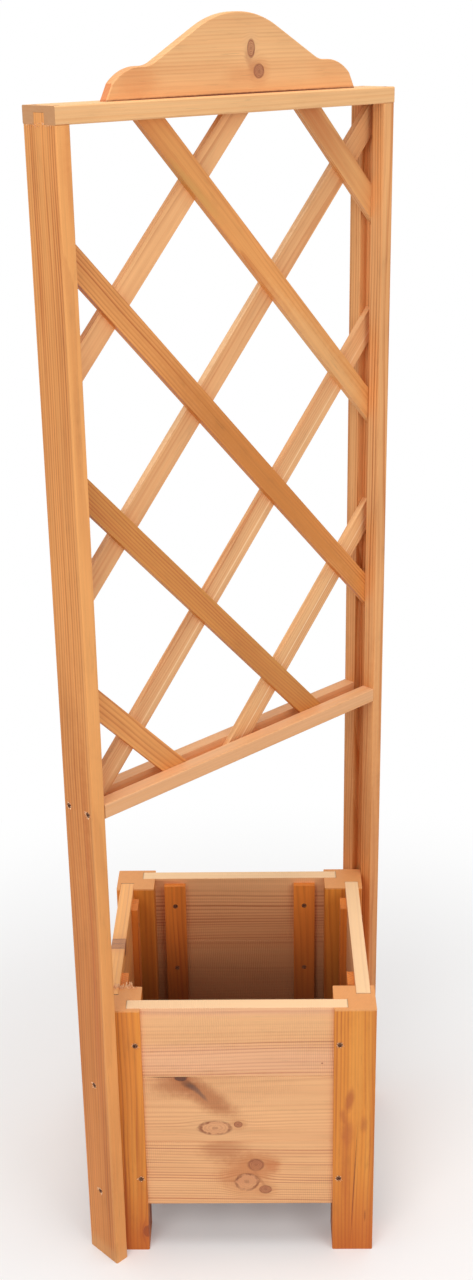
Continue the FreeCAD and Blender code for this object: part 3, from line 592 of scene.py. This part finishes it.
dress("crest_board", timber("crest_board_wood", (90, 0, TRELLIS_TURN),
                            middle("crest_board"), CREST_EARLY, CREST_LATE, CREST_YEAR,
                            CREST_PITH, 111.0, contrast=0.45, cloudy=0.5, fibrous=0.5,
                            cut=CREST_CUT, knots=crest_knots, stains=crest_stains))


# ---------------------------------------------------------------------------
# Screws.  Zinc-plated countersunk screws with a rolled thread and a cross
# recess, dulled outdoors.  Each is driven in until its head is level.
# ---------------------------------------------------------------------------
def dulled_metal(name, bright, dark):
    """Weathered metal: plated surface with brown-grey patches."""
    material = bpy.data.materials.new(name)
    start = fresh(material)
    place = start.node("ShaderNodeTexCoord", out=3)
    patch = place.noise(520.0, 3.0, 0.6).step(0.40, 0.60)
    shader = start.node("ShaderNodeBsdfPrincipled", None, {
        "Base Color": patch.between(bright, dark), "Metallic": 0.4 - patch * 0.4,
        "Roughness": 0.50 + patch * 0.35})
    start.node("ShaderNodeOutputMaterial", None, {0: shader})
    return material


def new_maker(name, inputs):
    """A geometry tree with named inputs: the tree and their identifiers, then their values."""
    tree = bpy.data.node_groups.new(name, "GeometryNodeTree")
    tree.interface.new_socket("Geometry", in_out="INPUT", socket_type="NodeSocketGeometry")
    tree.interface.new_socket("Geometry", in_out="OUTPUT", socket_type="NodeSocketGeometry")
    keys = {}
    for label, kind in inputs:
        item = tree.interface.new_socket(label, in_out="INPUT", socket_type="NodeSocket" + kind)
        keys[label] = item.identifier
    entry = tree.nodes.new("NodeGroupInput")
    taps = {socket.name: Signal(tree, socket) for socket in entry.outputs}
    taps["Aim"] = Signal(tree).node("GeometryNodeInputNamedAttribute",
                                    {"data_type": "FLOAT_VECTOR"}, {"Name": "aim"})
    return (tree, keys), taps


def moved(shape, z, turn=(0.0, 0.0, 0.0)):
    """A shape turned, then moved along Z."""
    offset = shape.node("ShaderNodeCombineXYZ", None, {2: z})
    return shape.node("GeometryNodeTransform", None,
                      {"Geometry": shape, "Translation": offset, "Rotation": turn})


def set_out(points, shape, along, material, twist=None, scale=(1.0, 1.0, 1.0)):
    """Ends a maker: the shape on every point, its Z along a direction, in one material."""
    stand = along.node("FunctionNodeAlignRotationToVector", {"axis": "Z"}, {"Vector": along})
    if twist is not None:
        about_z = along.node("ShaderNodeCombineXYZ", None, {2: twist})
        stand = along.node("FunctionNodeRotateRotation", {"rotation_space": "LOCAL"}, {
            0: stand, 1: along.node("FunctionNodeEulerToRotation", None, {0: about_z})})
    placed = along.node("GeometryNodeInstanceOnPoints", None, {
        "Points": points, "Instance": shape, "Rotation": stand, "Scale": scale})
    solid = along.node("GeometryNodeRealizeInstances", None, {0: placed})
    coated = along.node("GeometryNodeSetMaterial", None,
                        {"Geometry": solid, "Material": material})
    along.node("NodeGroupOutput", None, {0: coated})


def make(name, maker, places, values, node=None):
    """Runs a maker over places (point, aim) and puts the plain mesh on the frame."""
    tree, keys = maker
    marks = bpy.data.meshes.new(name + "_places")
    marks.from_pydata([point for point, aim in places], [], [])
    aims = marks.attributes.new("aim", "FLOAT_VECTOR", "POINT")
    aims.data.foreach_set("vector", [part for point, aim in places for part in aim])
    piece = bpy.data.objects.new(name, marks)
    bpy.context.scene.collection.objects.link(piece)
    modifier = piece.modifiers.new("maker", "NODES")
    modifier.node_group = tree
    for label, value in values.items():
        modifier[keys[label]] = value
    graph = bpy.context.evaluated_depsgraph_get()
    made = bpy.data.meshes.new_from_object(piece.evaluated_get(graph))
    piece.modifiers.clear()
    piece.data = made
    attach(piece, "root")
    if node:
        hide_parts(node)
    return piece


SCREW_HEAD = 0.0080
SCREW_HEAD_DEPTH = 0.0036
SCREW_SHANK = 0.0040
SCREW_TIP = 0.0050
THREAD_PITCH = 0.0018
UPSIDE_DOWN = (math.pi, 0.0, 0.0)
screw_maker, taps = new_maker("countersunk_screw", (
    ("Length", "Float"), ("Head", "Float"), ("Head Depth", "Float"), ("Shank", "Float"),
    ("Tip", "Float"), ("Pitch", "Float"), ("Metal", "Material")))
length, head, sink = taps["Length"], taps["Head"], taps["Head Depth"]
shank, tip, pitch = taps["Shank"], taps["Tip"], taps["Pitch"]
start = taps["Geometry"]
blank = moved(start.node("GeometryNodeMeshCone", None, {
    "Vertices": 28, "Side Segments": 1, "Radius Top": shank * 0.5,
    "Radius Bottom": head * 0.5, "Depth": sink}), 0.0, UPSIDE_DOWN)
arms = []
for quarter in (0.25, 0.75):
    bar = start.node("GeometryNodeMeshCube", None, {
        "Size": start.node("ShaderNodeCombineXYZ", None,
                           {0: head * 0.56, 1: head * 0.14, 2: sink})})
    arms.append(moved(bar, 0.0, (0.0, 0.0, math.pi * quarter)))
cut_head = start.node("GeometryNodeMeshBoolean",
                      {"operation": "DIFFERENCE", "solver": "EXACT"},
                      {"Mesh 1": blank, "Mesh 2": arms})
straight = length - sink - tip
rod = moved(start.node("GeometryNodeMeshCylinder", None, {
    "Vertices": 14, "Radius": shank * 0.36, "Depth": straight}), (sink + straight * 0.5) * -1.0)
point = moved(start.node("GeometryNodeMeshCone", None, {
    "Vertices": 14, "Radius Top": shank * 0.05, "Radius Bottom": shank * 0.36,
    "Depth": tip}), (length - tip) * -1.0, UPSIDE_DOWN)
threaded = length * 0.62
coil = start.node("GeometryNodeCurveSpiral", None, {
    "Resolution": 14, "Rotations": threaded / pitch, "Start Radius": shank * 0.40,
    "End Radius": shank * 0.40, "Height": threaded})
ridge = start.node("GeometryNodeCurvePrimitiveCircle", {"mode": "RADIUS"},
                   {"Resolution": 3, "Radius": shank * 0.13})
thread = moved(start.node("GeometryNodeCurveToMesh", None, {
    "Curve": coil, "Profile Curve": ridge, "Fill Caps": True}), (length - tip * 0.6) * -1.0)
whole = start.node("GeometryNodeJoinGeometry", None,
                   {"Geometry": [cut_head, rod, point, thread]})
random_turn = start.node("FunctionNodeRandomValue", {"data_type": "FLOAT"},
                         {2: 0.0, 3: math.pi, "Seed": 4}, out=1)
set_out(start, whole, taps["Aim"].scaled(-1.0), taps["Metal"], random_turn)

SIDES = ((0, -1), (1, 0), (0, 1), (-1, 0))
BOX_FACE = 0.1975
LEG_SCREW_OUT = 0.1458
LEG_SCREW_HEIGHTS = (0.367, 0.132)
CLEAT_THICK = 0.010
CLEAT_OUT = 0.105
CLEAT_SCREW_HEIGHTS = (0.380, 0.263, 0.149)
BATTEN_THICK = 0.021
BATTEN_SCREW_STEP = 0.095
BATTEN_SCREW_HEIGHT = 0.096
FLOOR_TOP = 0.126
FLOOR_SLAT_STEP = 0.069
FLOOR_SCREW_OUT = 0.160
POST_FACE = 0.29101
POST_GROOVE_SIDE = 0.27001
POST_HALF = 0.0105
POST_SCREW_HEIGHTS = (0.306, 0.118)
CHEEK = 0.01975
BOTTOM_RAIL_SCREW_HEIGHT = 0.7485
RAIL_TOP = 1.638
CREST_MIDDLE = 0.020
CREST_SCREW_OUT = 0.120
CREST_SCREW_SINK = 0.0076
DIAGONAL = math.sqrt(0.5)


def on_side(out_x, out_y, depth, run, height):
    """A point at a depth towards one side of the box, run along that side."""
    return (out_x * depth if out_x else run, out_y * depth if out_y else run, height)


def on_trellis(u, v, height):
    """A point of the trellis: u along it, v behind it."""
    return ((u - v) * DIAGONAL, (u + v) * DIAGONAL, height)


UP, DOWN = (0, 0, 1), (0, 0, -1)
leg_spots, cleat_spots, batten_spots, floor_spots = [], [], [], []
for out_x, out_y in SIDES:
    inwards, outwards = (-out_x, -out_y, 0), (out_x, out_y, 0)
    for end in (-1, 1):
        for height in LEG_SCREW_HEIGHTS:
            leg_spots.append((on_side(out_x, out_y, BOX_FACE, end * LEG_SCREW_OUT, height),
                              inwards))
        for height in CLEAT_SCREW_HEIGHTS:
            cleat_spots.append((on_side(out_x, out_y, BOARD_INNER - CLEAT_THICK,
                                        end * CLEAT_OUT, height), outwards))
    for place in (-1, 0, 1):
        batten_spots.append((on_side(out_x, out_y, BOARD_INNER - BATTEN_THICK,
                                     place * BATTEN_SCREW_STEP, BATTEN_SCREW_HEIGHT),
                             outwards))
for end in (-1, 1):
    for place in (-1.5, -0.5, 0.5, 1.5):
        floor_spots.append(((place * FLOOR_SLAT_STEP, end * FLOOR_SCREW_OUT, FLOOR_TOP),
                            DOWN))
    for side in (-1, 1):
        floor_spots.append(((side * FLOOR_SCREW_OUT, end * BATTEN_SCREW_STEP, FLOOR_TOP),
                            DOWN))
post_spots, low_spots, high_spots, crest_spots = [], [], [], []
for end in (-1, 1):
    inwards = (-end * DIAGONAL, -end * DIAGONAL, 0)
    for height in POST_SCREW_HEIGHTS:
        post_spots.append((on_trellis(end * POST_FACE, 0, height), inwards))
    for cheek in (-CHEEK, CHEEK):
        low_spots.append((on_trellis(end * POST_FACE, cheek, BOTTOM_RAIL_SCREW_HEIGHT),
                          inwards))
        high_spots.append((on_trellis(end * (POST_GROOVE_SIDE + POST_HALF), cheek, RAIL_TOP),
                           DOWN))
    crest_spots.append((on_trellis(CREST_MIDDLE + end * CREST_SCREW_OUT, 0,
                                   RAIL_TOP - CREST_SCREW_SINK), UP))
screw_zinc = dulled_metal("screw_zinc", stain(166, 112, 76), stain(66, 32, 18))
screw_sets = (
    # CAD piece, length, places
    ("leg_wall_screws", 0.036, leg_spots),
    ("post_leg_screws", 0.045, post_spots),
    ("bottom_rail_screws", 0.050, low_spots),
    ("top_rail_screws", 0.050, high_spots),
    ("crest_screws", 0.034, crest_spots),
    ("cleat_screws", 0.024, cleat_spots),
    ("batten_screws", 0.036, batten_spots),
    ("floor_screws", 0.024, floor_spots),
)
for node, size, places in screw_sets:
    make(node + "_threaded", screw_maker, places, {
        "Length": size, "Head": SCREW_HEAD, "Head Depth": SCREW_HEAD_DEPTH,
        "Shank": SCREW_SHANK, "Tip": SCREW_TIP, "Pitch": THREAD_PITCH,
        "Metal": screw_zinc}, node)


# ---------------------------------------------------------------------------
# Brads.  Plain wire nails with a flat round head, driven from the back
# through each crossing of the lattice.
# ---------------------------------------------------------------------------
BRAD_LENGTH = 0.015
BRAD_WIRE = 0.0016
BRAD_HEAD = 0.0029
brad_maker, taps = new_maker("wire_brad", (
    ("Length", "Float"), ("Wire", "Float"), ("Head", "Float"), ("Metal", "Material")))
start, wire = taps["Geometry"], taps["Wire"]
body = taps["Length"] - wire * 2.0
shaft = moved(start.node("GeometryNodeMeshCylinder", None, {
    "Vertices": 12, "Radius": wire * 0.5, "Depth": body}), body * -0.5)
spike = moved(start.node("GeometryNodeMeshCone", None, {
    "Vertices": 4, "Radius Top": wire * 0.05, "Radius Bottom": wire * 0.5,
    "Depth": wire * 2.0}), body * -1.0, UPSIDE_DOWN)
cap = moved(start.node("GeometryNodeMeshCone", None, {
    "Vertices": 20, "Radius Top": wire * 0.6, "Radius Bottom": taps["Head"] * 0.5,
    "Depth": wire * 0.5}), 0.0, UPSIDE_DOWN)
whole = start.node("GeometryNodeJoinGeometry", None, {"Geometry": [shaft, spike, cap]})
set_out(start, whole, taps["Aim"].scaled(-1.0), taps["Metal"])

SLAT_ROW = 0.284
SLAT_RISE = math.tan(math.radians(SLAT_TILT))
FRONT_MIDDLE_HEIGHT = 1.198
BACK_MIDDLE_HEIGHT = 1.1685
LATTICE_BACK = 0.009
BRAD_REACH = 0.238
BRAD_LOWEST, BRAD_HIGHEST = 0.770, 1.585
brad_spots = []
for front in (-2, -1, 0, 1, 2):
    for back in (-1.5, -0.5, 0.5, 1.5):
        falling = FRONT_MIDDLE_HEIGHT + front * SLAT_ROW
        rising = BACK_MIDDLE_HEIGHT + back * SLAT_ROW
        u = (falling - rising) / 2 / SLAT_RISE
        height = (falling + rising) / 2
        if abs(u) < BRAD_REACH and BRAD_LOWEST < height < BRAD_HIGHEST:
            brad_spots.append((on_trellis(u, LATTICE_BACK, height),
                               (DIAGONAL, -DIAGONAL, 0)))
brad_wire = dulled_metal("brad_wire", stain(150, 144, 136), stain(70, 52, 42))
make("lattice_brads_drawn", brad_maker, brad_spots, {
    "Length": BRAD_LENGTH, "Wire": BRAD_WIRE, "Head": BRAD_HEAD, "Metal": brad_wire},
    "lattice_brads")


# ---------------------------------------------------------------------------
# Torn fibres.  Short splinters that the driver and the saw left: round the
# screw heads, along the top of the front left leg, and under the top rail.
# ---------------------------------------------------------------------------
fibre_maker, taps = new_maker("torn_fibres", (
    ("Count", "Int"), ("Spread", "Float"), ("Length", "Float"), ("Width", "Float"),
    ("Lean", "Float"), ("Seed", "Int"), ("Wood", "Material")))
start, aim, width = taps["Geometry"], taps["Aim"], taps["Width"]
many = start.node("GeometryNodeDuplicateElements", {"domain": "POINT"},
                  {"Geometry": start, "Amount": taps["Count"]})
anywhere = start.node("FunctionNodeRandomValue", {"data_type": "FLOAT_VECTOR"},
                      {0: (-1.0, -1.0, -1.0), 1: (1.0, 1.0, 1.0), "Seed": taps["Seed"]})
beside = aim.vector("CROSS_PRODUCT", aim, anywhere)
beside = beside.vector("NORMALIZE", beside)
spread = start.node("GeometryNodeSetPosition", None,
                    {"Geometry": many, "Offset": beside.scaled(taps["Spread"])})
sliver = start.node("GeometryNodeMeshCone", None, {
    "Vertices": 4, "Radius Top": width * 0.12, "Radius Bottom": width * 0.5,
    "Depth": taps["Length"]})
grow = start.node("FunctionNodeRandomValue", {"data_type": "FLOAT"},
                  {2: 0.10, 3: 1.0, "Seed": taps["Seed"]}, out=1)
set_out(spread, sliver, aim.vector("ADD", aim, beside.scaled(taps["Lean"])), taps["Wood"],
        scale=start.node("ShaderNodeCombineXYZ", None, {0: 1.0, 1: 0.6, 2: grow}))

torn_wood = timber("torn_wood", UPRIGHT, (0.0, 0.0, 0.4), stain(250, 206, 160),
                   stain(220, 148, 96), 0.0030, (0.05, 0.05), 121.0)
head_rims = []
for point, aim in leg_spots + post_spots + low_spots:
    head_rims.append((point, tuple(-part for part in aim)))
LEG_LEFT, LEG_BACK, LEG_TOP = -0.195, -0.1395, 0.4255
edge_spots = []
for i in range(13):
    edge_spots.append(((LEG_LEFT + 0.0038 * i + 0.0014 * math.sin(9.1 * i),
                        LEG_BACK + 0.0012 * math.sin(5.1 * i), LEG_TOP),
                       (0.20 * math.sin(2.3 * i), 0.25, 0.90)))
RAIL_END, RAIL_FRONT, RAIL_UNDERSIDE = -0.2905, -0.020, 1.6165
rail_spots = []
for i in range(9):
    rail_spots.append((on_trellis(RAIL_END, RAIL_FRONT + 0.005 * i, RAIL_UNDERSIDE),
                       (-DIAGONAL * 0.9, -DIAGONAL * 0.9, 0.4 * math.sin(3.7 * i))))
torn_sets = (
    # name, places, fibres each, spread, length, width, lean, seed
    ("torn_screw_rims", head_rims, 12, 0.0038, 0.0036, 0.0018, 2.2, 7),
    ("torn_leg_top", edge_spots, 4, 0.0024, 0.0090, 0.0034, 0.45, 11),
    ("torn_rail_end", rail_spots, 4, 0.0014, 0.0040, 0.0014, 0.6, 17),
)
for name, places, count, reach, size, broad, lean, seed in torn_sets:
    make(name, fibre_maker, places, {
        "Count": count, "Spread": reach, "Length": size, "Width": broad, "Lean": lean,
        "Seed": seed, "Wood": torn_wood})


# ---------------------------------------------------------------------------
# Studio.  A camera at eye height in front of the planter, soft light from
# above and both sides, and a pale floor that runs into a white backdrop.
# ---------------------------------------------------------------------------
PHOTO_WIDTH, PHOTO_HEIGHT = 473, 1280
FOCAL_PIXELS = 1572.4
SENSOR_WIDTH = 36.0
CAMERA_PLACE = (0.0410, -2.0690, 1.7202)
CAMERA_YAW, CAMERA_PITCH, CAMERA_ROLL = -1.012, 21.403, -0.914
camera_data = bpy.data.cameras.new("camera")
camera_data.sensor_width = SENSOR_WIDTH
camera_data.lens = FOCAL_PIXELS * SENSOR_WIDTH / max(PHOTO_WIDTH, PHOTO_HEIGHT)
camera_data.clip_start = 0.05
camera_data.clip_end = 60.0
camera = bpy.data.objects.new("camera", camera_data)
camera.location = CAMERA_PLACE
camera.rotation_mode = "QUATERNION"
camera.rotation_quaternion = (
    Euler((0, 0, math.radians(-CAMERA_YAW))).to_quaternion()
    @ Euler((math.radians(90 - CAMERA_PITCH), 0, 0)).to_quaternion()
    @ Euler((0, 0, math.radians(CAMERA_ROLL))).to_quaternion())
bpy.context.scene.collection.objects.link(camera)
bpy.context.scene.camera = camera

FLOOR_HALF = 30.0
floor_mesh = bpy.data.meshes.new("floor")
floor_mesh.from_pydata([(-FLOOR_HALF, -FLOOR_HALF, 0), (FLOOR_HALF, -FLOOR_HALF, 0),
                        (FLOOR_HALF, FLOOR_HALF, 0), (-FLOOR_HALF, FLOOR_HALF, 0)],
                       [], [(0, 1, 2, 3)])
floor = bpy.data.objects.new("floor", floor_mesh)
bpy.context.scene.collection.objects.link(floor)
floor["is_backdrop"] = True
floor_paint = bpy.data.materials.new("pale_floor")
start = fresh(floor_paint)


def plainly_seen(start):
    """1 for rays that show the backdrop itself: to the camera, in gloss and through glass."""
    paths = start.node("ShaderNodeLightPath").socket.node.outputs
    shown = (Signal(start.tree, paths["Is Camera Ray"])
             + Signal(start.tree, paths["Is Glossy Ray"])
             + Signal(start.tree, paths["Is Transmission Ray"]))
    return shown.maths("MINIMUM", shown, 1.0)


WHITE = (1.0, 1.0, 1.0, 1.0)
matt = start.node("ShaderNodeBsdfDiffuse", None, {"Color": (0.80, 0.80, 0.80, 1.0)})
glow = start.node("ShaderNodeEmission", None, {"Color": WHITE, "Strength": 0.12})
white = start.node("ShaderNodeEmission", None, {"Color": WHITE, "Strength": 1.0})
near = start.node("ShaderNodeAddShader", None, {0: matt, 1: glow})
floor_x, floor_y = start.node("ShaderNodeTexCoord", out=3).parts()[:2]
away = ((floor_x * floor_x + floor_y * floor_y) ** 0.5).step(0.55, 1.30)
backed = start.node("ShaderNodeMixShader", None, {0: away, 1: near, 2: white})
start.node("ShaderNodeOutputMaterial", None, {
    0: start.node("ShaderNodeMixShader", None, {0: plainly_seen(start), 1: matt, 2: backed})})
floor_mesh.materials.append(floor_paint)

AIR_LEVEL = 0.54
world = bpy.data.worlds.new("studio_air")
start = fresh(world)
air = start.node("ShaderNodeBackground", None, {"Color": WHITE, "Strength": AIR_LEVEL})
backdrop = start.node("ShaderNodeBackground", None, {"Color": WHITE, "Strength": 1.0})
start.node("ShaderNodeOutputWorld", None, {
    0: start.node("ShaderNodeMixShader", None, {0: plainly_seen(start), 1: air, 2: backdrop})})
bpy.context.scene.world = world

lamps = (
    # name, place, size, power
    ("key", (-1.1, -2.6, 2.9), 1.8, 29.0),
    ("fill", (2.0, -2.2, 1.9), 2.0, 18.0),
    ("overhead", (0.2, -0.4, 6.0), 3.0, 120.0),
)
AIM = Vector((0.0, 0.0, 0.85))
for name, place, size, power in lamps:
    lamp_data = bpy.data.lights.new(name, "AREA")
    lamp_data.shape = "DISK"
    lamp_data.size = size
    lamp_data.energy = power
    lamp = bpy.data.objects.new(name, lamp_data)
    lamp.location = place
    lamp.rotation_mode = "QUATERNION"
    lamp.rotation_quaternion = (AIM - Vector(place)).to_track_quat("-Z", "Y")
    bpy.context.scene.collection.objects.link(lamp)

bpy.context.scene.view_settings.view_transform = "Standard"

low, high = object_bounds()
